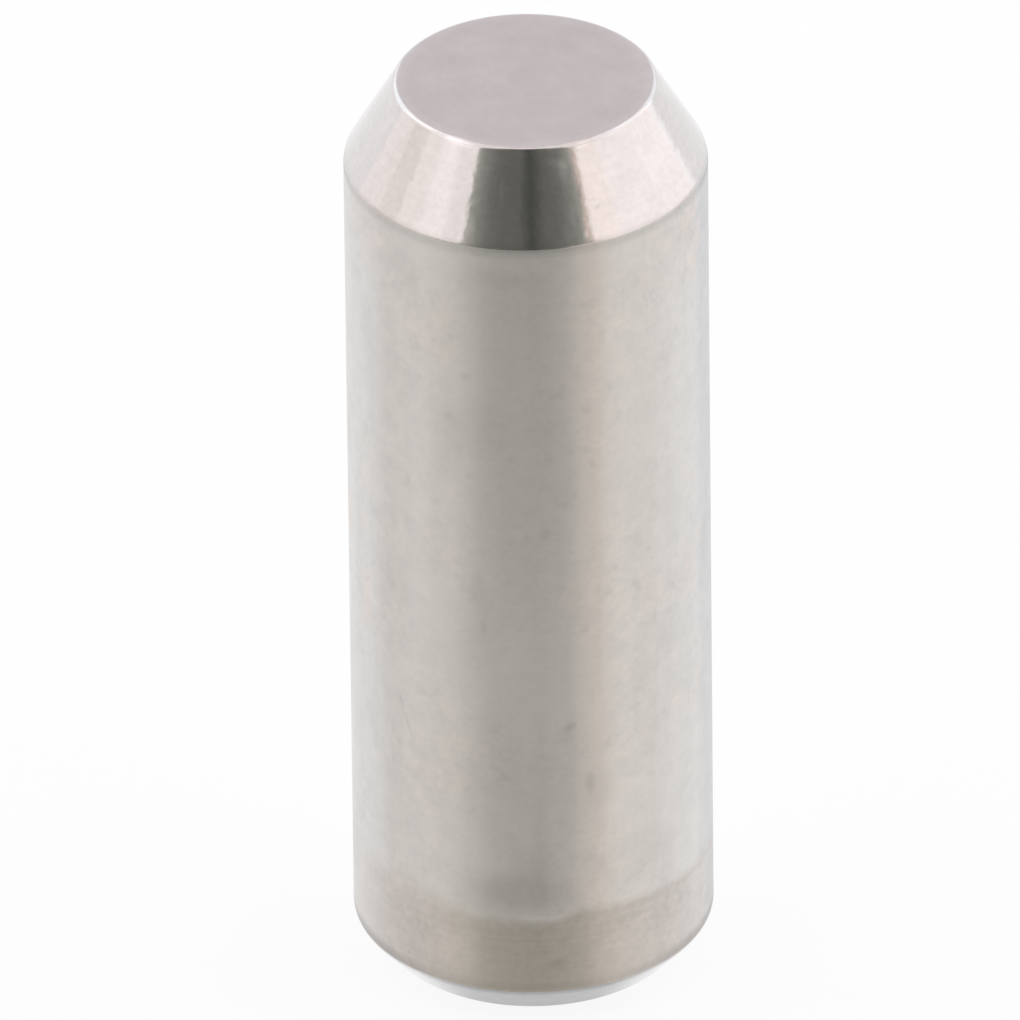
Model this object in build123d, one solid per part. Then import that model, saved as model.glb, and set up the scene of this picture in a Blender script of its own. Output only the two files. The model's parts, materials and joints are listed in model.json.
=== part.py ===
from build123d import *
from math import radians, tan
import os

# A dowel pin, turned from bar and ground on its outside, standing on its foot.
# Lengths are in millimetres and angles in degrees. +Z runs up the pin's axis
# from the centre of the foot face.

# Driving dimensions
PIN_DIAMETER = 8.0          # ground outside, the size that locates
PIN_LENGTH = 22.0           # over both end faces
LEAD_LENGTH = 1.95          # long chamfer on the upper end, along the axis
LEAD_ANGLE = 30.0           # that chamfer, from the axis
FOOT_CHAMFER_LENGTH = 0.8   # short chamfer round the foot, along the axis
FOOT_CHAMFER_ANGLE = 42.0   # that chamfer, from the axis
FACE_BREAK = 0.15           # radius left round each end face
SHANK_BREAK = 0.35          # radius where each chamfer rolls into the ground outside

PIN_RADIUS = PIN_DIAMETER / 2


def face_radius(chamfer_length, chamfer_angle):
    """Radius of the flat end face that a chamfer leaves on the pin."""
    return PIN_RADIUS - chamfer_length * tan(radians(chamfer_angle))


def half_section():
    """Half of the pin's section, from the axis out to the ground outside."""
    foot_face = (face_radius(FOOT_CHAMFER_LENGTH, FOOT_CHAMFER_ANGLE), 0)
    shank_foot = (PIN_RADIUS, FOOT_CHAMFER_LENGTH)
    shank_top = (PIN_RADIUS, PIN_LENGTH - LEAD_LENGTH)
    lead_face = (face_radius(LEAD_LENGTH, LEAD_ANGLE), PIN_LENGTH)
    outline = Polyline((0, 0), foot_face, shank_foot, shank_top, lead_face, (0, PIN_LENGTH), close=True)
    section = make_face(outline)
    corners_on_axis = 2
    face_corners = section.vertices().sort_by(Axis.X)[corners_on_axis:-2]
    section = fillet(face_corners, radius=FACE_BREAK)
    shank_corners = section.vertices().group_by(Axis.X)[-1]
    return Plane.XZ * fillet(shank_corners, radius=SHANK_BREAK)


def dowel_pin():
    """The whole pin: its half section turned once round the axis."""
    return revolve(half_section(), axis=Axis.Z)


os.makedirs("parts", exist_ok=True)
export_step(dowel_pin(), "parts/dowel_pin.step")
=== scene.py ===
"""Dowel pin: a ground steel shank between two bright turned chamfers, standing on a pale floor."""

from __future__ import annotations

import json
import logging
import math
from dataclasses import dataclass, field
from enum import Enum
from typing import Mapping, Protocol, Sequence, Union

import bpy
from mathutils import Matrix, Vector

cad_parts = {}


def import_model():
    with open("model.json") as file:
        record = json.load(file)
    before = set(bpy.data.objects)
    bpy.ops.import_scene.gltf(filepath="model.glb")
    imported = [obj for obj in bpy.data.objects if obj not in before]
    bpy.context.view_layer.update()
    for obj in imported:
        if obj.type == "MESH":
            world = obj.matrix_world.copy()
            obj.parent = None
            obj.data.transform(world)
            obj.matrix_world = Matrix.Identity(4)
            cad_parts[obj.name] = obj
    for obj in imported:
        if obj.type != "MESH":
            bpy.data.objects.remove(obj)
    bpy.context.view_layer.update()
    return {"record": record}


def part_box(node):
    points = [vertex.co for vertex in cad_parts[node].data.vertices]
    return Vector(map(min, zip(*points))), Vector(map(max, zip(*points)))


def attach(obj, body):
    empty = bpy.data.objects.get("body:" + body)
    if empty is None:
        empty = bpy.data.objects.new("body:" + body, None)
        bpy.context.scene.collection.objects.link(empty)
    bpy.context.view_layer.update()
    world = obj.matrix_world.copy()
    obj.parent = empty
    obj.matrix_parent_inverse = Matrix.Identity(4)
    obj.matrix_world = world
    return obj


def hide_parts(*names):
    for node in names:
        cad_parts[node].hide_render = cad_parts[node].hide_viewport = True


log = logging.getLogger("dowel_pin")

MM = 0.001
PIN_NODE = "dowel_pin"
SHANK_MOUNT = "shank"

Colour = tuple[float, float, float]
Paint = Union[bpy.types.NodeSocket, Colour]
Span = tuple[float, float]
Operand = Union["Value", float]


class Zone(Enum):
    """The pin's surfaces, each named for the tree input that holds its finish."""

    TURNED = "Turned Finish"
    SHANK = "Shank Finish"
    END = "End Finish"


class Value:
    """One number in a node tree. Its arithmetic adds Math nodes to that tree."""

    def __init__(self, canvas: Canvas, socket: bpy.types.NodeSocket) -> None:
        """Wrap one output socket.

        Args:
            canvas: The tree that the socket belongs to.
            socket: The output that gives the number.
        """
        self.canvas = canvas
        self.socket = socket

    def __add__(self, other: Operand) -> Value:
        """This number plus another."""
        return self.canvas.math("ADD", self, other)

    def __radd__(self, other: Operand) -> Value:
        """Another number plus this one."""
        return self.canvas.math("ADD", other, self)

    def __sub__(self, other: Operand) -> Value:
        """This number less another."""
        return self.canvas.math("SUBTRACT", self, other)

    def __rsub__(self, other: Operand) -> Value:
        """Another number less this one."""
        return self.canvas.math("SUBTRACT", other, self)

    def __mul__(self, other: Operand) -> Value:
        """This number times another."""
        return self.canvas.math("MULTIPLY", self, other)

    def __rmul__(self, other: Operand) -> Value:
        """Another number times this one."""
        return self.canvas.math("MULTIPLY", other, self)

    def __truediv__(self, other: Operand) -> Value:
        """This number over another."""
        return self.canvas.math("DIVIDE", self, other)

    def __rtruediv__(self, other: Operand) -> Value:
        """Another number over this one."""
        return self.canvas.math("DIVIDE", other, self)

    def __abs__(self) -> Value:
        """This number without its sign."""
        return self.canvas.math("ABSOLUTE", self)


class Canvas:
    """A node tree that is being drawn, with one method that every node comes from."""

    def __init__(self, tree: bpy.types.NodeTree) -> None:
        """Draw on a tree.

        Args:
            tree: The shader or geometry tree to add nodes to.
        """
        self.tree = tree

    def node(
        self,
        kind: str,
        settings: Mapping[str, object] | None = None,
        sockets: Mapping[str | int, object] | None = None,
    ) -> bpy.types.Node:
        """Add one node.

        Args:
            kind: The node's type.
            settings: Its properties, which are set first.
            sockets: Its inputs, by identifier, name or place: a value, or an output to link.

        Returns:
            The new node.
        """
        made = self.tree.nodes.new(kind)
        for name, setting in (settings or {}).items():
            setattr(made, name, setting)
        for key, given in (sockets or {}).items():
            entry = self.find(made.inputs, key)
            source = given.socket if isinstance(given, Value) else given
            if isinstance(source, bpy.types.NodeSocket):
                self.tree.links.new(source, entry)
            else:
                entry.default_value = source
        return made

    @staticmethod
    def find(bank: Sequence[bpy.types.NodeSocket], key: str | int) -> bpy.types.NodeSocket:
        """One socket of a node.

        Args:
            bank: The node's inputs or outputs.
            key: The socket's identifier, name or place.

        Returns:
            The first socket that fits, by place, then identifier, then name.
        """
        if isinstance(key, int):
            return bank[key]
        for socket in bank:
            if socket.identifier == key:
                return socket
        return bank[key]

    def value(self, node: bpy.types.Node, key: str | int = 0) -> Value:
        """An output of a node as a number to reckon with."""
        return Value(self, self.find(node.outputs, key))

    def math(self, operation: str, *numbers: Operand) -> Value:
        """Add a Math node.

        Args:
            operation: What it works out.
            numbers: Its inputs, in order.

        Returns:
            Its result.
        """
        return self.value(self.node("ShaderNodeMath", {"operation": operation}, dict(enumerate(numbers))))

    def smooth(self, number: Operand, low: Operand, high: Operand) -> Value:
        """A smooth step.

        Args:
            number: What the step follows.
            low: Where the step is still 0.
            high: Where it has reached 1.

        Returns:
            The step, from 0 to 1.
        """
        inputs = {"Value": number, "From Min": low, "From Max": high}
        return self.value(self.node("ShaderNodeMapRange", {"interpolation_type": "SMOOTHSTEP"}, inputs))


class SteelCanvas(Canvas):
    """The shader tree of one steel finish, read in millimetres on the pin itself."""

    NOISE_ROUGHNESS = 0.6
    BLUR_TURN = 0.25  # share of a turn, from round the axis to along it

    def __init__(self, name: str) -> None:
        """Start a material.

        Args:
            name: The material's name.
        """
        self.material = bpy.data.materials.new(name)
        self.material.use_nodes = True
        super().__init__(self.material.node_tree)
        self.tree.nodes.clear()
        place = self.node("ShaderNodeTexCoord")
        scaled = self.node("ShaderNodeVectorMath", {"operation": "SCALE"},
                           {"Vector": place.outputs["Object"], "Scale": 1 / MM})
        self.place = scaled.outputs["Vector"]
        parts = self.node("ShaderNodeSeparateXYZ", sockets={"Vector": self.place})
        self.x = self.value(parts, "X")
        self.y = self.value(parts, "Y")
        self.height = self.value(parts, "Z")
        self.azimuth = self.math("ARCTAN2", self.x, 0 - self.y)
        self.radius = self.math("SQRT", self.x * self.x + self.y * self.y)

    def noise(self, detail: float, where: bpy.types.NodeSocket, scale: float = 1.0) -> Value:
        """A noise that is centred on zero.

        Args:
            detail: Its octaves.
            where: The point to read it at.
            scale: Its features to one unit of that point.

        Returns:
            The noise, from about -1 to 1.
        """
        inputs = {"Vector": where, "Scale": scale, "Detail": detail, "Roughness": self.NOISE_ROUGHNESS}
        return self.value(self.node("ShaderNodeTexNoise", sockets=inputs), "Fac") * 2 - 1

    def mottle(self, mottle: Mottle) -> Value:
        """Draw a mottle on the pin.

        Args:
            mottle: How fine it is, across the axis and along it.

        Returns:
            Its noise, from about -1 to 1.
        """
        if mottle.across == mottle.along:
            return self.noise(mottle.detail, self.place, mottle.across)
        stretched = self.point(self.x * mottle.across, self.y * mottle.across, self.height * mottle.along)
        return self.noise(mottle.detail, stretched)

    def point(self, x: Operand, y: Operand, z: Operand) -> bpy.types.NodeSocket:
        """Three numbers as a point."""
        return self.node("ShaderNodeCombineXYZ", sockets={"X": x, "Y": y, "Z": z}).outputs["Vector"]

    def mix(self, factor: Operand, start: Paint, end: Paint) -> bpy.types.NodeSocket:
        """Blend two colours.

        Args:
            factor: The share of the second colour.
            start: The first colour, or an output that gives it.
            end: The second colour, or an output that gives it.

        Returns:
            The blended colour.
        """
        sides = {"A_Color": start, "B_Color": end}
        inputs = {key: side if isinstance(side, bpy.types.NodeSocket) else (*side, 1.0)
                  for key, side in sides.items()}
        blend = self.node("ShaderNodeMix", {"data_type": "RGBA"}, {"Factor_Float": factor, **inputs})
        return self.find(blend.outputs, "Result_Color")

    def shade(self, colour: bpy.types.NodeSocket, level: Operand) -> bpy.types.NodeSocket:
        """Make a colour lighter or darker.

        Args:
            colour: The output that gives the colour.
            level: The factor, which varies over the surface.

        Returns:
            The shaded colour.
        """
        product = self.node("ShaderNodeVectorMath", {"operation": "MULTIPLY"},
                            {0: colour, 1: self.point(level, level, level)})
        return product.outputs["Vector"]

    def near(self, distance: Value, core: float, reach: float) -> Value:
        """A soft spot or line: 1 within its core, falling to 0 at its reach."""
        return 1 - self.smooth(distance, core, reach)

    def side(self, span: Span) -> Value:
        """A step from 0 in front to 1 behind, within a span of radians round the pin."""
        return self.smooth(abs(self.azimuth), *span)

    def bare_metal(
        self,
        colour: bpy.types.NodeSocket,
        roughness: Operand,
        relief: Value,
        depth: float,
        anisotropy: float,
    ) -> bpy.types.Material:
        """Finish the material as bare metal.

        Args:
            colour: What the metal reflects head on.
            roughness: How far it blurs a reflection.
            relief: Its fine relief, from about -1 to 1.
            depth: What one unit of relief stands for, in metres.
            anisotropy: How much further it blurs along the axis than round it.

        Returns:
            The finished material.
        """
        bump = self.node("ShaderNodeBump", sockets={"Height": relief, "Distance": depth, "Strength": 1.0})
        metal = self.node("ShaderNodeBsdfPrincipled", sockets={
            "Base Color": colour,
            "Metallic": 1.0,
            "Roughness": roughness,
            "Anisotropic": anisotropy,
            "Anisotropic Rotation": self.BLUR_TURN,
            "Normal": bump.outputs["Normal"],
        })
        self.node("ShaderNodeOutputMaterial", sockets={"Surface": metal.outputs["BSDF"]})
        return self.material


@dataclass(frozen=True)
class Mottle:
    """A noise over the steel, in features to the millimetre across the pin's axis and along it.

    Its tones are how far it lightens and darkens the steel: everywhere, and further where the
    steel is worn and on the dull band.
    """

    across: float
    along: float
    detail: float
    tone: float = 0.0
    worn_tone: float = 0.0
    band_tone: float = 0.0

    def strength(self, worn: Value, band: Value) -> Operand:
        """How far the noise changes the tone at each place.

        Args:
            worn: How worn the steel is.
            band: How far the dull band covers it.

        Returns:
            The strength, which is one number where worn steel and the band don't matter.
        """
        strength: Operand = self.tone
        if self.worn_tone:
            strength = strength + worn * self.worn_tone
        if self.band_tone:
            strength = strength + band * self.band_tone
        return strength


@dataclass(frozen=True)
class Mark:
    """A soft mark on the steel, in degrees round the pin and millimetres. A tone below 0 is darker."""

    azimuth: float
    height: float
    half_length: float
    half_width: float
    tone: float
    tilt: float = 0.0

    ARC_RADIUS = 4.0  # the ground radius, where lengths round the pin are measured
    CORE = 0.2  # share of the mark that has its full tone

    def shade(self, steel: SteelCanvas) -> Value:
        """Draw the mark.

        Args:
            steel: The tree of the finish that has the mark.

        Returns:
            What the mark adds to the tone, 0 outside it.
        """
        along = (steel.azimuth - math.radians(self.azimuth)) * self.ARC_RADIUS
        rise = steel.height - self.height
        if self.tilt:
            cosine, sine = math.cos(math.radians(self.tilt)), math.sin(math.radians(self.tilt))
            along, rise = along * cosine + rise * sine, rise * cosine - along * sine
        lengthwise, across = along / self.half_length, rise / self.half_width
        distance = steel.math("SQRT", lengthwise * lengthwise + across * across)
        return steel.near(distance, self.CORE, 1.0) * self.tone


@dataclass(frozen=True)
class Streak:
    """A soft band of colour along the axis, in degrees round the pin: a painted reflection of the
    surroundings.
    """

    azimuth: float
    core: float
    reach: float
    strength: float
    colour: Colour

    def cover(self, steel: SteelCanvas) -> Value:
        """How far the painted reflection covers each place."""
        away = abs(steel.azimuth - math.radians(self.azimuth))
        return steel.near(away, math.radians(self.core), math.radians(self.reach)) * self.strength


@dataclass(frozen=True)
class EdgeShade:
    """The soft shade beside a broken edge, where the ground outside rolls over into a chamfer."""

    height: float
    shank_reach: float
    turned_reach: float
    tone: float
    flank_tone: float = 0.0

    FLANK_SPAN = (0.45, 1.1)

    def beside(self, steel: SteelCanvas, reach: float) -> Value:
        """How far the shade covers each place, fading out at its reach."""
        return steel.near(abs(steel.height - self.height), 0.0, reach)

    def depth(self, steel: SteelCanvas) -> Value:
        """How dark the shade is, from the pin's front round to its back."""
        return self.tone + steel.side(self.FLANK_SPAN) * self.flank_tone


EDGE_SHADES = (
    EdgeShade(height=20.0, shank_reach=0.23, turned_reach=0.2, tone=0.13),
    EdgeShade(height=0.9, shank_reach=0.3, turned_reach=0.18, tone=0.08, flank_tone=0.17),
)


@dataclass(frozen=True)
class DullBand:
    """The dull band above the foot, in millimetres, and in radians round the pin.

    Its upper edge is ragged, slopes a little, dips in front and is softer on the left. A fine
    line follows that edge on the right.
    """

    colour: Colour = (0.635, 0.578, 0.505)
    flank: Colour = (0.655, 0.604, 0.57)
    flank_span: Span = (0.2, 0.9)
    top: float = 2.93
    slope: float = 0.04
    ragged: float = 0.08
    dip: float = 0.25
    dip_begins: Span = (-0.8, -0.35)
    dip_ends: Span = (0.12, 0.26)
    softness: float = 0.15
    left_softness: float = 0.28
    left_span: Span = (-3.4, 0.6)
    line_strength: float = 0.3
    line_drop: float = 1.1
    line_core: float = 0.02
    line_reach: float = 0.09
    line_span: Span = (0.8, 2.4)
    # Painted light: the band fades towards the pin's left and right sides, standing in for the bright
    # grazing reflection there
    wear: float = 0.65
    wear_span: Span = (2.5, 3.95)

    def paint(self, steel: SteelCanvas) -> bpy.types.NodeSocket:
        """The band's colour, which changes towards its sides."""
        return steel.mix(steel.side(self.flank_span), self.colour, self.flank)

    def cover(self, steel: SteelCanvas, blotch: Value) -> Value:
        """Draw the band.

        Args:
            steel: The finish's tree.
            blotch: The noise that makes the band's edge ragged.

        Returns:
            How far the band covers each place.
        """
        past_dip = steel.smooth(steel.azimuth, *self.dip_ends)
        dip = steel.smooth(steel.azimuth, *self.dip_begins) * (1 - past_dip)
        edge = self.top - steel.x * self.slope - dip * self.dip + blotch * self.ragged
        soft = self.softness + self.left_softness * (1 - steel.smooth(steel.x, *self.left_span))
        cover = 1 - steel.smooth(steel.height, edge - soft, edge + soft)
        from_line = abs(steel.height - edge + soft * self.line_drop)
        line = steel.near(from_line, self.line_core, self.line_reach)
        line = line * steel.smooth(steel.x, *self.line_span)
        # worn is this painted fade towards the sides here
        worn = 1 - self.wear * steel.smooth(abs(steel.x), *self.wear_span)
        return cover * worn + line * self.line_strength


class Finish(Protocol):
    """What the pin asks of a finish."""

    def material(self) -> bpy.types.Material:
        """Build the finish."""


@dataclass(frozen=True)
class GroundShank:
    """The ground outside: a fine mottled grey, with a duller band above the foot."""

    # Painted reflection: the steel is warmer in front and paler, cooler towards the sides, standing in for
    # warm surroundings mirrored in front
    colour: Colour = (0.72, 0.683, 0.632)
    flank: Colour = (0.745, 0.722, 0.703)
    flank_span: Span = (0.45, 1.1)
    stain: Colour = (0.735, 0.665, 0.625)
    stain_span: Span = (0.0, 0.8)
    stain_mottle: float = 0.5
    worn_span: Span = (-0.35, 0.45)
    speck_span: Span = (0.1, 0.6)
    roughness: float = 0.48
    roughness_mottle: float = 0.04
    band_roughness: float = 0.03
    anisotropy: float = 0.95
    relief_depth: float = 0.8e-6
    grain_relief: float = 0.4
    line_relief: float = 0.3
    cloud: Mottle = Mottle(0.3, 0.3, 2.0)
    blotch: Mottle = Mottle(1.9, 1.9, 3.0, tone=0.08, worn_tone=0.08)
    grain: Mottle = Mottle(6.5, 6.5, 2.0, tone=0.035, worn_tone=0.04, band_tone=0.05)
    specks: Mottle = Mottle(3.2, 3.2, 1.0, tone=-0.02, worn_tone=-0.04)
    lines: Mottle = Mottle(0.18, 14.0, 3.0, tone=0.015, band_tone=0.05)
    smear: Mottle = Mottle(1.0, 0.4, 2.0, tone=0.05)
    strokes: Mottle = Mottle(1.75, 0.1, 2.0, tone=0.04)
    band: DullBand = DullBand()
    # Painted reflections: bands of colour along the axis that stand in for the surroundings mirrored in the
    # steel
    streaks: tuple[Streak, ...] = (
        Streak(25.0, 6.0, 13.0, 0.5, (0.784, 0.713, 0.66)),
        Streak(21.2, 0.6, 5.2, 0.35, (0.73, 0.655, 0.575)),
        Streak(31.0, 3.0, 9.0, 0.5, (0.746, 0.71, 0.668)),
        Streak(-47.0, 3.0, 12.5, 1.0, (0.713, 0.669, 0.636)),
        Streak(82.0, 8.0, 18.0, 1.0, (0.68, 0.672, 0.672)),
    )
    marks: tuple[Mark, ...] = (
        # Small dark nicks and scratches
        Mark(4.8, 12.75, 0.22, 0.24, -0.09),
        Mark(12.2, 7.72, 0.22, 0.16, -0.15, tilt=40),
        Mark(10.8, 7.45, 0.28, 0.3, -0.05),
        Mark(-45.8, 7.75, 0.30, 0.08, -0.09, tilt=-72),
        Mark(-43.0, 7.2, 0.42, 0.06, -0.07, tilt=-66),
        Mark(18.6, 6.2, 0.18, 0.42, -0.09),
        Mark(-15.0, 10.3, 0.12, 0.3, -0.07),
        Mark(-26.0, 15.6, 0.2, 0.14, -0.08),
        Mark(-20.0, 16.7, 0.18, 0.16, -0.09),
        Mark(-31.0, 13.3, 0.16, 0.14, -0.07),
        Mark(20.5, 14.4, 0.1, 0.12, -0.10),
        # Broad patches on the shank
        Mark(1.0, 9.5, 1.3, 4.0, 0.05),
        Mark(-15.0, 15.5, 0.9, 1.2, -0.05),
        Mark(-17.0, 11.2, 0.3, 0.7, -0.06),
        # Painted: the next two darken the painted reflection on the left towards the top, and the third is
        # painted shade under the long chamfer's edge
        Mark(-44.0, 18.9, 0.7, 0.8, -0.06),
        Mark(-48.0, 16.5, 0.35, 1.2, -0.03),
        Mark(-8.0, 19.3, 1.4, 0.35, -0.05),
        Mark(22.0, 6.0, 0.6, 0.7, -0.05),
        Mark(-27.0, 15.0, 0.6, 1.6, -0.04),
        # On the band and just above it
        Mark(1.0, 2.77, 0.85, 0.09, 0.07),
        Mark(-5.0, 3.45, 1.8, 0.75, -0.16),
        Mark(0.0, 4.2, 0.7, 0.7, -0.06),
        Mark(-25.0, 1.8, 0.7, 1.0, 0.08),
        Mark(34.0, 1.5, 1.3, 1.0, 0.05),
        Mark(34.0, 4.0, 1.6, 0.9, -0.05),
        Mark(8.0, 1.55, 0.35, 0.2, -0.1),
    )

    def material(self) -> bpy.types.Material:
        """Build the finish.

        Returns:
            The material of the ground outside.
        """
        steel = SteelCanvas("ground_shank")
        blotch, grain = steel.mottle(self.blotch), steel.mottle(self.grain)
        cloud, smear = steel.mottle(self.cloud), steel.mottle(self.smear)
        lines, strokes = steel.mottle(self.lines), steel.mottle(self.strokes)
        specks = steel.smooth(steel.mottle(self.specks), *self.speck_span)
        worn = steel.smooth(cloud, *self.worn_span)
        band = self.band.cover(steel, blotch)
        # The steel's colour with the painted reflection tint, from the front towards the sides
        bare = steel.mix(steel.side(self.flank_span), self.colour, self.flank)
        stained = cloud + blotch * self.stain_mottle + smear * self.stain_mottle
        drawn = steel.mix(steel.smooth(stained, *self.stain_span), bare, self.stain)
        for painted_reflection in self.streaks:
            drawn = steel.mix(painted_reflection.cover(steel), drawn, painted_reflection.colour)
        colour = steel.mix(band, drawn, self.band.paint(steel))
        tone: Operand = 1.0
        for mottle, noise in (
            (self.blotch, blotch),
            (self.grain, grain),
            (self.lines, lines),
            (self.smear, smear),
            (self.strokes, strokes),
            (self.specks, specks),
        ):
            tone = tone + noise * mottle.strength(worn, band)
        for mark in self.marks:
            tone = tone + mark.shade(steel)
        for edge in EDGE_SHADES:
            tone = tone * (1 - edge.beside(steel, edge.shank_reach) * edge.depth(steel))
        roughness = self.roughness + blotch * self.roughness_mottle + band * self.band_roughness
        relief = blotch + grain * self.grain_relief + lines * self.line_relief
        toned = steel.shade(colour, tone)
        return steel.bare_metal(toned, roughness, relief, self.relief_depth, self.anisotropy)


@dataclass(frozen=True)
class BrightTurning:
    """The chamfers and the broken edges: bright, nearly a mirror, with faint turning marks."""

    # Painted reflection: the chamfer is pinker in front and cooler at the far sides, standing in for the
    # lights mirrored there
    colour: Colour = (0.72, 0.652, 0.64)
    flank: Colour = (0.725, 0.69, 0.69)
    flank_span: Span = (1.1, 1.25)
    # Painted shade: the foot chamfer is darker and bluish in front, standing in for the shadowed floor under
    # the pin mirrored there, and paler towards the sides
    foot_colour: Colour = (0.41, 0.41, 0.42)
    foot_flank: Colour = (0.72, 0.72, 0.73)
    foot_flank_span: Span = (0.35, 0.8)
    foot_span: Span = (0.85, 0.95)
    foot_shade: float = 0.12
    foot_shade_span: Span = (0.0, 0.45)
    roughness: float = 0.1
    roughness_mottle: float = 0.03
    edge_roughness: float = 0.12
    anisotropy: float = 0.3
    relief_depth: float = 3.5e-6
    grain_relief: float = 0.14
    line_relief: float = 0.04
    wave: Mottle = Mottle(1.4, 1.4, 2.0, tone=0.05)
    grain: Mottle = Mottle(6.0, 6.0, 3.0, tone=0.1)
    lines: Mottle = Mottle(0.26, 12.0, 3.0, tone=0.05)
    strokes: Mottle = Mottle(2.35, 0.4, 2.0, tone=0.045)
    # Painted reflections: bands of colour along the axis that stand in for the surroundings mirrored in the
    # chamfer
    streaks: tuple[Streak, ...] = (
        Streak(26.0, 3.0, 8.0, 1.0, (0.72, 0.634, 0.6)),
        Streak(-25.0, 1.5, 4.0, 1.0, (0.685, 0.62, 0.608)),
        Streak(-33.0, 2.0, 6.0, 1.0, (0.762, 0.69, 0.677)),
        Streak(-48.0, 6.0, 13.0, 1.0, (0.708, 0.64, 0.614)),
    )
    marks: tuple[Mark, ...] = (
        # Scuffs and nicks on the long chamfer
        Mark(12.5, 21.68, 0.42, 0.14, 0.22, tilt=-14),
        Mark(17.5, 20.6, 0.1, 0.3, -0.07),
        Mark(-9.0, 21.1, 0.1, 0.5, 0.1),
        Mark(-18.6, 20.35, 0.15, 0.45, 0.2),
        Mark(15.0, 21.55, 0.2, 0.35, 0.25),
        Mark(24.5, 20.88, 0.13, 0.05, -0.12),
        Mark(25.5, 20.72, 0.11, 0.05, -0.12, tilt=20),
        Mark(19.5, 20.25, 0.1, 0.12, 0.3),
        # Painted highlights: brighter stretches of the upper face's broken edge
        Mark(-29.0, 21.96, 0.75, 0.12, 0.22),
        Mark(24.0, 21.96, 0.4, 0.12, 0.1),
    )

    def material(self) -> bpy.types.Material:
        """Build the finish.

        Returns:
            The material of the chamfers and the broken edges.
        """
        steel = SteelCanvas("bright_turning")
        wave, grain = steel.mottle(self.wave), steel.mottle(self.grain)
        lines, strokes = steel.mottle(self.lines), steel.mottle(self.strokes)
        # The chamfer's colour with the painted reflection tint towards the far sides
        lead_side = steel.mix(steel.side(self.flank_span), self.colour, self.flank)
        for painted_reflection in self.streaks:
            lead_side = steel.mix(painted_reflection.cover(steel), lead_side, painted_reflection.colour)
        # Painted shade of the mirrored floor under the pin, paler towards the sides
        foot_side_with_painted_shade = steel.mix(steel.side(self.foot_flank_span), self.foot_colour, self.foot_flank)
        foot = 1 - steel.smooth(steel.height, *self.foot_span)
        colour = steel.mix(foot, lead_side, foot_side_with_painted_shade)
        tone = 1 + wave * self.wave.tone + grain * self.grain.tone
        tone = tone + lines * self.lines.tone + strokes * self.strokes.tone
        # Painted shade, darker towards the bottom of the foot chamfer
        tone = tone - self.foot_shade * (1 - steel.smooth(steel.height, *self.foot_shade_span))
        for mark in self.marks:
            tone = tone + mark.shade(steel)
        roughness = self.roughness + grain * self.roughness_mottle
        for edge in EDGE_SHADES:
            shade = edge.beside(steel, edge.turned_reach)
            tone = tone * (1 - shade * edge.depth(steel))
            roughness = roughness + shade * self.edge_roughness
        relief = wave + grain * self.grain_relief + lines * self.line_relief
        toned = steel.shade(colour, tone)
        return steel.bare_metal(toned, roughness, relief, self.relief_depth, self.anisotropy)


@dataclass(frozen=True)
class FacedEnd:
    """The flat ends: a fine satin facing, a little duller than the ground outside."""

    colour: Colour = (0.628, 0.579, 0.566)
    pale: Colour = (0.64, 0.60, 0.58)
    pale_span: Span = (-0.1, 0.6)
    rim_span: Span = (2.5, 2.79)
    rim_tone: float = 0.06
    roughness: float = 0.3
    roughness_mottle: float = 0.04
    anisotropy: float = 0.2
    relief_depth: float = 0.5e-6
    grain_relief: float = 0.3
    ring_relief: float = 0.2
    ring_tone: float = 0.025
    ring_detail: float = 3.0
    rings_per_mm: float = 9.0
    ring_waver: float = 0.3
    blotch: Mottle = Mottle(1.3, 1.3, 3.0, tone=0.075)
    grain: Mottle = Mottle(6.0, 6.0, 2.0, tone=0.035)

    def material(self) -> bpy.types.Material:
        """Build the finish.

        Returns:
            The material of the two flat ends.
        """
        steel = SteelCanvas("faced_end")
        blotch, grain = steel.mottle(self.blotch), steel.mottle(self.grain)
        rings = steel.noise(self.ring_detail, steel.point(
            steel.radius * self.rings_per_mm,
            steel.x * self.ring_waver,
            steel.y * self.ring_waver,
        ))
        colour = steel.mix(steel.smooth(blotch, *self.pale_span), self.colour, self.pale)
        rim = steel.smooth(steel.radius, *self.rim_span)
        tone = 1 + blotch * self.blotch.tone + grain * self.grain.tone
        tone = tone + rings * self.ring_tone + rim * self.rim_tone
        roughness = self.roughness + blotch * self.roughness_mottle
        relief = blotch + grain * self.grain_relief + rings * self.ring_relief
        toned = steel.shade(colour, tone)
        return steel.bare_metal(toned, roughness, relief, self.relief_depth, self.anisotropy)


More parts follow.
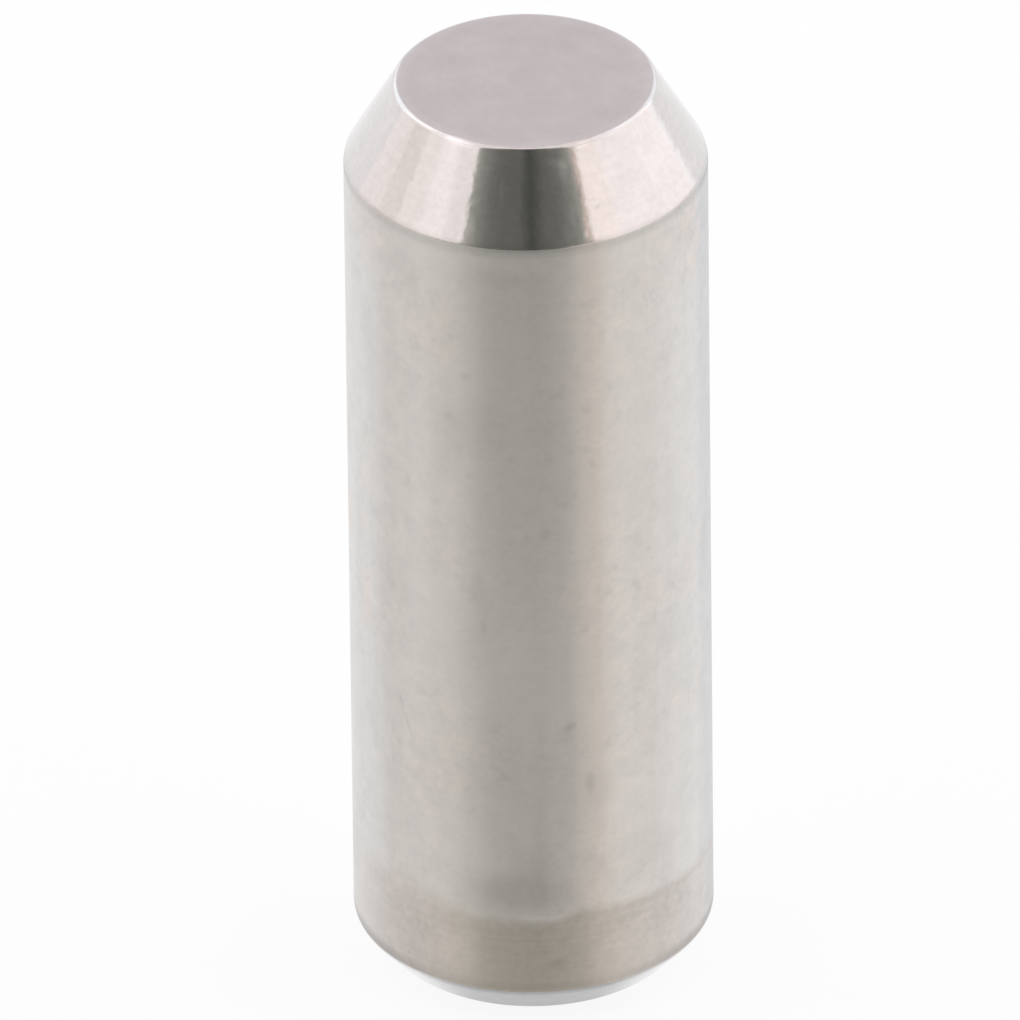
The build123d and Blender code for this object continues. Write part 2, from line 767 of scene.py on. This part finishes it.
@dataclass
class DowelPin:
    """The whole pin, turned from one outline, with its sizes in metres and radians."""

    radius: float
    length: float
    lead_length: float = 1.95 * MM
    lead_angle: float = math.radians(30)
    foot_length: float = 0.8 * MM
    foot_angle: float = math.radians(42)
    face_break: float = 0.15 * MM
    shank_break: float = 0.35 * MM
    row_height: float = 0.5 * MM
    break_steps: int = 12
    facets: int = 256
    finishes: Mapping[Zone, Finish] = field(default_factory=lambda: {
        Zone.TURNED: BrightTurning(),
        Zone.SHANK: GroundShank(),
        Zone.END: FacedEnd(),
    })

    SHANK_SLOPE = 0.3  # a face whose normal rises less than this is on the shank
    END_SLOPE = 0.9995  # and one that rises more than this is on a flat end
    MERGE_DISTANCE = 1e-7
    SHANK_TOLERANCE = 1e-6
    FACE_WEIGHT = 100

    @classmethod
    def from_frame(cls, record: Mapping[str, object]) -> DowelPin:
        """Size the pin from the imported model.

        Args:
            record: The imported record, whose shank mount has the ground radius.

        Returns:
            The pin, with the frame's radius and length.
        """
        shank = next(mount for mount in record["mounts"] if mount["name"] == SHANK_MOUNT)
        low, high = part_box(PIN_NODE)
        return cls(radius=shank["dims"]["r_mm"] * MM, length=high.z - low.z)

    def sizes(self) -> dict[str, float | int]:
        """The tree's named inputs and their values."""
        return {
            "Pin Radius": self.radius,
            "Pin Length": self.length,
            "Lead Length": self.lead_length,
            "Lead Angle": self.lead_angle,
            "Foot Length": self.foot_length,
            "Foot Angle": self.foot_angle,
            "Face Break": self.face_break,
            "Shank Break": self.shank_break,
            "Row Height": self.row_height,
            "Break Steps": self.break_steps,
            "Facets": self.facets,
        }

    def lathe(self) -> bpy.types.GeometryNodeTree:
        """Draw the tree that rounds the outline's corners and turns it round the axis.

        Returns:
            The tree, with an input for each size and for each zone's finish.
        """
        tree = bpy.data.node_groups.new("pin_lathe", "GeometryNodeTree")
        tree.is_modifier = True
        for name, size in self.sizes().items():
            kind = "NodeSocketInt" if isinstance(size, int) else "NodeSocketFloat"
            tree.interface.new_socket(name=name, in_out="INPUT", socket_type=kind)
        for zone in Zone:
            tree.interface.new_socket(name=zone.value, in_out="INPUT", socket_type="NodeSocketMaterial")
        tree.interface.new_socket(name="Pin", in_out="OUTPUT", socket_type="NodeSocketGeometry")
        canvas = Canvas(tree)
        given = canvas.node("NodeGroupInput")
        size = {name: canvas.value(given, name) for name in self.sizes()}
        rows = self.outline(canvas, size)
        path = canvas.node("GeometryNodeCurvePrimitiveCircle", {"mode": "RADIUS"},
                           {"Resolution": size["Facets"], "Radius": size["Pin Radius"]})
        turned = canvas.node("GeometryNodeCurveToMesh",
                             sockets={"Curve": path.outputs["Curve"], "Profile Curve": rows})
        closed = canvas.node("GeometryNodeMergeByDistance",
                             sockets={"Geometry": turned.outputs["Mesh"], "Distance": self.MERGE_DISTANCE})
        smooth = canvas.node("GeometryNodeSetShadeSmooth",
                             sockets={"Geometry": closed.outputs["Geometry"]})
        piece = canvas.node("GeometryNodeRealizeInstances",
                            sockets={"Geometry": smooth.outputs["Geometry"]})
        facing = canvas.node("GeometryNodeInputNormal")
        parts = canvas.node("ShaderNodeSeparateXYZ", sockets={"Vector": facing.outputs["True Normal"]})
        slope = abs(canvas.value(parts, "Z"))
        covers = {
            Zone.TURNED: True,
            Zone.SHANK: canvas.math("LESS_THAN", slope, self.SHANK_SLOPE),
            Zone.END: canvas.math("GREATER_THAN", slope, self.END_SLOPE),
        }
        dressed = piece.outputs["Geometry"]
        for zone in Zone:
            inputs = {"Geometry": dressed, "Selection": covers[zone], "Material": given.outputs[zone.value]}
            dressed = canvas.node("GeometryNodeSetMaterial", sockets=inputs).outputs["Geometry"]
        canvas.node("NodeGroupOutput", sockets={"Pin": dressed})
        return tree

    def outline(self, canvas: Canvas, size: Mapping[str, Value]) -> bpy.types.NodeSocket:
        """Draw the half section as a curve, beside the circle that it is swept along.

        Args:
            canvas: The lathe's tree.
            size: The tree's sizes by name.

        Returns:
            The curve, with rounded corners and evenly divided straights. Its X is the distance
            outside the pin's radius, and its Y runs down, as the swept circle's own frame does.
        """
        radius = size["Pin Radius"]
        foot_face = radius - size["Foot Length"] * canvas.math("TANGENT", size["Foot Angle"])
        lead_face = radius - size["Lead Length"] * canvas.math("TANGENT", size["Lead Angle"])
        corners = (
            (0.0, 0.0),
            (foot_face, 0.0),
            (radius, size["Foot Length"]),
            (radius, size["Pin Length"] - size["Lead Length"]),
            (lead_face, size["Pin Length"]),
            (0.0, size["Pin Length"]),
        )
        place = canvas.node("GeometryNodeIndexSwitch", {"data_type": "VECTOR"},
                            {"Index": canvas.node("GeometryNodeInputIndex").outputs["Index"]})
        while len(place.index_switch_items) < len(corners):
            place.index_switch_items.new()
        for index, (out, up) in enumerate(corners):
            point = canvas.node("ShaderNodeCombineXYZ", sockets={"X": out - radius, "Y": 0 - up})
            canvas.tree.links.new(point.outputs["Vector"], place.inputs[str(index)])
        here = canvas.node("GeometryNodeInputPosition").outputs["Position"]
        outward = canvas.value(canvas.node("ShaderNodeSeparateXYZ", sockets={"Vector": here}), "X")
        on_shank = canvas.math("GREATER_THAN", outward, -self.SHANK_TOLERANCE)
        rounding = size["Face Break"] + (size["Shank Break"] - size["Face Break"]) * on_shank
        line = canvas.node("GeometryNodeMeshLine", sockets={"Count": len(corners)})
        placed = canvas.node("GeometryNodeSetPosition",
                             sockets={"Geometry": line.outputs["Mesh"], "Position": place.outputs["Output"]})
        drawn = canvas.node("GeometryNodeMeshToCurve", sockets={"Mesh": placed.outputs["Geometry"]})
        broken = canvas.node("GeometryNodeFilletCurve", {"mode": "POLY"}, {
            "Curve": drawn.outputs["Curve"],
            "Count": size["Break Steps"],
            "Radius": rounding,
            "Limit Radius": True,
        })
        index = canvas.value(canvas.node("GeometryNodeInputIndex"), "Index")
        following = canvas.node("GeometryNodeFieldAtIndex", {"data_type": "FLOAT_VECTOR"},
                                {"Value": here, "Index": index + 1})
        gap = canvas.node("ShaderNodeVectorMath", {"operation": "DISTANCE"},
                          {0: here, 1: following.outputs["Value"]})
        cuts = canvas.math("FLOOR", canvas.value(gap, "Value") / size["Row Height"])
        return canvas.node("GeometryNodeSubdivideCurve",
                           sockets={"Curve": broken.outputs["Curve"], "Cuts": cuts}).outputs["Curve"]

    def build(self) -> bpy.types.Object:
        """Turn the pin and set it in the frame, in place of the plain solid.

        Returns:
            The finished piece.
        """
        tree = self.lathe()
        blank = bpy.data.objects.new("pin_blank", bpy.data.meshes.new("pin_blank"))
        bpy.context.scene.collection.objects.link(blank)
        turning = blank.modifiers.new("turning", "NODES")
        turning.node_group = tree
        materials = {zone.value: finish.material() for zone, finish in self.finishes.items()}
        inputs = {**self.sizes(), **materials}
        for item in tree.interface.items_tree:
            if item.in_out == "INPUT":
                turning[item.identifier] = inputs[item.name]
        shading = blank.modifiers.new("shading", "WEIGHTED_NORMAL")
        shading.mode = "FACE_AREA"
        shading.weight = self.FACE_WEIGHT
        evaluated = blank.evaluated_get(bpy.context.evaluated_depsgraph_get())
        mesh = bpy.data.meshes.new_from_object(evaluated)
        bpy.data.objects.remove(blank)
        mesh.name = "ground_pin"
        piece = bpy.data.objects.new("ground_pin", mesh)
        bpy.context.scene.collection.objects.link(piece)
        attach(piece, "root")
        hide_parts(PIN_NODE)
        mesh.calc_loop_triangles()
        log.info("%s: %d triangles", piece.name, len(mesh.loop_triangles))
        return piece


def toward(azimuth: float, elevation: float) -> Vector:
    """A direction seen from the pin.

    Args:
        azimuth: Degrees from the camera's side, towards the right.
        elevation: Degrees above the floor.

    Returns:
        The unit vector.
    """
    turn, rise = math.radians(azimuth), math.radians(elevation)
    return Vector((math.sin(turn) * math.cos(rise), -math.cos(turn) * math.cos(rise), math.sin(rise)))


@dataclass(frozen=True)
class SoftBox:
    """A flat soft lamp that faces the pin from some way off, in degrees and metres."""

    name: str
    azimuth: float
    elevation: float
    width: float
    height: float
    radiance: float
    tint: Colour = (1.0, 1.0, 1.0)
    distance: float = 1.2

    def pose(self) -> Matrix:
        """Where the lamp hangs, with its front towards the pin."""
        way = toward(self.azimuth, self.elevation)
        return Matrix.Translation(way * self.distance) @ way.to_track_quat("Z", "Y").to_matrix().to_4x4()

    def hang(self) -> bpy.types.Object:
        """Light the lamp.

        Returns:
            The lamp's object.
        """
        lamp = bpy.data.lights.new(self.name, "AREA")
        lamp.shape = "RECTANGLE"
        lamp.size, lamp.size_y = self.width, self.height
        lamp.energy = self.radiance * math.pi * self.width * self.height
        lamp.color = self.tint
        hung = bpy.data.objects.new(self.name, lamp)
        bpy.context.scene.collection.objects.link(hung)
        hung.matrix_world = self.pose()
        hung.visible_camera = False
        return hung


@dataclass(frozen=True)
class Card:
    """A plain card that the steel mirrors, curved round the pin, between angles in degrees."""

    name: str
    left: float
    right: float
    top: float
    tone: Colour
    side_tone: Colour | None = None
    bottom: float = 0.0
    distance: float = 0.15
    spread: float = 1.0

    STEPS = 32

    def stand(self) -> bpy.types.Object:
        """Set the card up.

        Returns:
            The card's object.
        """
        steps = self.STEPS
        turns = [self.left + (self.right - self.left) * step / steps for step in range(steps + 1)]
        rises = [self.distance * math.tan(math.radians(edge)) for edge in (self.bottom, self.top)]
        rows = [[toward(turn, 0) * self.distance + Vector((0, 0, rise)) for turn in turns] for rise in rises]
        faces = [(step, step + 1, steps + step + 2, steps + step + 1) for step in range(steps)]
        mesh = bpy.data.meshes.new(self.name)
        mesh.from_pydata(rows[0] + rows[1], [], faces)
        material = bpy.data.materials.new(self.name)
        material.use_nodes = True
        canvas = Canvas(material.node_tree)
        canvas.tree.nodes.clear()
        colour = self.graded(canvas) if self.side_tone else (*self.tone, 1.0)
        glow = canvas.node("ShaderNodeEmission", sockets={"Color": colour, "Strength": 1.0})
        canvas.node("ShaderNodeOutputMaterial", sockets={"Surface": glow.outputs["Emission"]})
        mesh.materials.append(material)
        material.cycles.emission_sampling = "NONE"
        card = bpy.data.objects.new(self.name, mesh)
        bpy.context.scene.collection.objects.link(card)
        card.visible_camera = False
        return card

    def graded(self, canvas: Canvas) -> bpy.types.NodeSocket:
        """Blend the card's tone at its middle into its side tone, later where its spread is higher.

        Args:
            canvas: The card's shader tree.

        Returns:
            The blended colour.
        """
        place = canvas.node("ShaderNodeTexCoord").outputs["Object"]
        parts = canvas.node("ShaderNodeSeparateXYZ", sockets={"Vector": place})
        turn = canvas.math("ARCTAN2", canvas.value(parts, "X"), 0 - canvas.value(parts, "Y"))
        middle = math.radians((self.left + self.right) / 2)
        half = math.radians((self.right - self.left) / 2)
        share = canvas.math("POWER", abs(turn - middle) / half, self.spread)
        blend = canvas.node("ShaderNodeMix", {"data_type": "RGBA"}, {
            "Factor_Float": share,
            "A_Color": (*self.tone, 1.0),
            "B_Color": (*self.side_tone, 1.0),
        })
        return canvas.find(blend.outputs, "Result_Color")


@dataclass(frozen=True)
class Studio:
    """A pale floor in white surroundings, with soft lamps at the sides and a dark camera side."""

    floor_half: float = 3.0
    floor_tone: float = 0.97
    floor_glow: float = 0.9
    surround: float = 1.0
    lamps: tuple[SoftBox, ...] = (
        SoftBox("left_lamp", -63, 18, 0.95, 0.8, radiance=0.12),
        SoftBox("left_strip", -110, 16, 0.40, 0.9, radiance=0.09),
        SoftBox("right_lamp", 88, 16, 2.1, 0.9, radiance=0.22),
        SoftBox("right_strip", 112, 16, 0.8, 0.9, radiance=0.06),
        SoftBox("left_top_lamp", -105, 50, 1.2, 0.7, radiance=0.25, tint=(0.8, 0.92, 1.0)),
        SoftBox("right_top_lamp", 105, 50, 1.2, 0.7, radiance=0.25, tint=(0.8, 0.92, 1.0)),
        SoftBox("left_back_lamp", -143, 34, 1.0, 0.9, radiance=0.35, tint=(0.7, 0.88, 1.0)),
        SoftBox("right_back_lamp", 143, 34, 1.0, 0.9, radiance=0.2, tint=(0.7, 0.88, 1.0)),
    )
    cards: tuple[Card, ...] = (
        Card("camera_side", -40, 39, 80, (0.15, 0.162, 0.148), side_tone=(0.47, 0.50, 0.46), spread=4.0),
        Card("camera_stand", -5, 12, 80, (0.077, 0.085, 0.078), side_tone=(0.15, 0.162, 0.148),
             distance=0.149),
        Card("warm_strip", 38.5, 41, 80, (0.72, 0.64, 0.58), distance=0.149),
        Card("right_front_card", 24, 40, 15, (0.88, 0.83, 0.79), distance=0.148),
        Card("left_front_card", -60, -40, 12, (0.44, 0.42, 0.40)),
        Card("left_card", -104, -60, 11, (0.85, 0.81, 0.81)),
        Card("back_card", 164, 196, 84, (0.82, 0.80, 0.83), bottom=6, distance=0.6),
    )

    def set_up(self) -> None:
        """Lay the floor and light the scene."""
        self.lay_floor()
        self.fill_surround()
        for lamp in self.lamps:
            log.info("lamp %s", lamp.hang().name)
        for card in self.cards:
            log.info("card %s", card.stand().name)

    def lay_floor(self) -> bpy.types.Object:
        """Lay a pale floor that shows as white and keeps the pin's shadow.

        Returns:
            The floor.
        """
        mesh = bpy.data.meshes.new("floor")
        half = self.floor_half
        corners = [(-half, -half, 0), (half, -half, 0), (half, half, 0), (-half, half, 0)]
        mesh.from_pydata(corners, [], [(0, 1, 2, 3)])
        material = bpy.data.materials.new("pale_floor")
        material.use_nodes = True
        canvas = Canvas(material.node_tree)
        canvas.tree.nodes.clear()
        light_path = canvas.node("ShaderNodeLightPath")
        seen = canvas.value(light_path, "Is Camera Ray")
        for ray in ("Is Glossy Ray", "Is Transmission Ray"):
            seen = canvas.math("MAXIMUM", seen, canvas.value(light_path, ray))
        paint = canvas.node("ShaderNodeBsdfDiffuse", sockets={"Color": (*[self.floor_tone] * 3, 1.0)})
        glow = canvas.node("ShaderNodeEmission", sockets={"Color": (1.0, 1.0, 1.0, 1.0), "Strength": 1.0})
        surface = canvas.node("ShaderNodeMixShader", sockets={
            0: seen * self.floor_glow,
            1: paint.outputs["BSDF"],
            2: glow.outputs["Emission"],
        })
        canvas.node("ShaderNodeOutputMaterial", sockets={"Surface": surface.outputs["Shader"]})
        mesh.materials.append(material)
        floor = bpy.data.objects.new("floor", mesh)
        bpy.context.scene.collection.objects.link(floor)
        return floor

    def fill_surround(self) -> None:
        """Make everything round the pin an even white."""
        scene = bpy.context.scene
        scene.world = bpy.data.worlds.new("white_surround")
        scene.world.use_nodes = True
        canvas = Canvas(scene.world.node_tree)
        canvas.tree.nodes.clear()
        white = canvas.node("ShaderNodeBackground",
                            sockets={"Color": (1.0, 1.0, 1.0, 1.0), "Strength": self.surround})
        canvas.node("ShaderNodeOutputWorld", sockets={"Surface": white.outputs["Background"]})


@dataclass(frozen=True)
class ViewPoint:
    """Where the photograph was taken from, in degrees, metres and the photograph's pixels."""

    elevation: float = 31.82
    distance: float = 0.7304
    focal_pixels: float = 33090.0
    image_pixels: float = 1020.0
    yaw: float = -0.0338
    pitch: float = -0.0047
    roll: float = -0.626
    sensor: float = 36.0

    def look(self, middle: Vector) -> bpy.types.Object:
        """Set up the camera.

        Args:
            middle: The point that the camera stands off from.

        Returns:
            The scene's camera.
        """
        lens = bpy.data.cameras.new("photo_camera")
        lens.sensor_width = self.sensor
        lens.lens = self.sensor * self.focal_pixels / self.image_pixels
        camera = bpy.data.objects.new("photo_camera", lens)
        bpy.context.scene.collection.objects.link(camera)
        aim = Matrix.Rotation(math.radians(90 - self.elevation), 4, "X")
        for degrees, axis in ((-self.yaw, "Y"), (self.pitch, "X"), (self.roll, "Z")):
            aim = aim @ Matrix.Rotation(math.radians(degrees), 4, axis)
        camera.matrix_world = Matrix.Translation(middle + toward(0, self.elevation) * self.distance) @ aim
        bpy.context.scene.camera = camera
        return camera


def main() -> None:
    """Load the frame, build the pin and set up the studio."""
    logging.basicConfig(level=logging.INFO, format="%(name)s: %(message)s")
    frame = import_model()
    pin = DowelPin.from_frame(frame["record"])
    pin.build()
    Studio().set_up()
    ViewPoint().look(Vector((0, 0, pin.length / 2)))
    bpy.context.scene.view_settings.view_transform = "Standard"


if __name__ == "__main__":
    main()
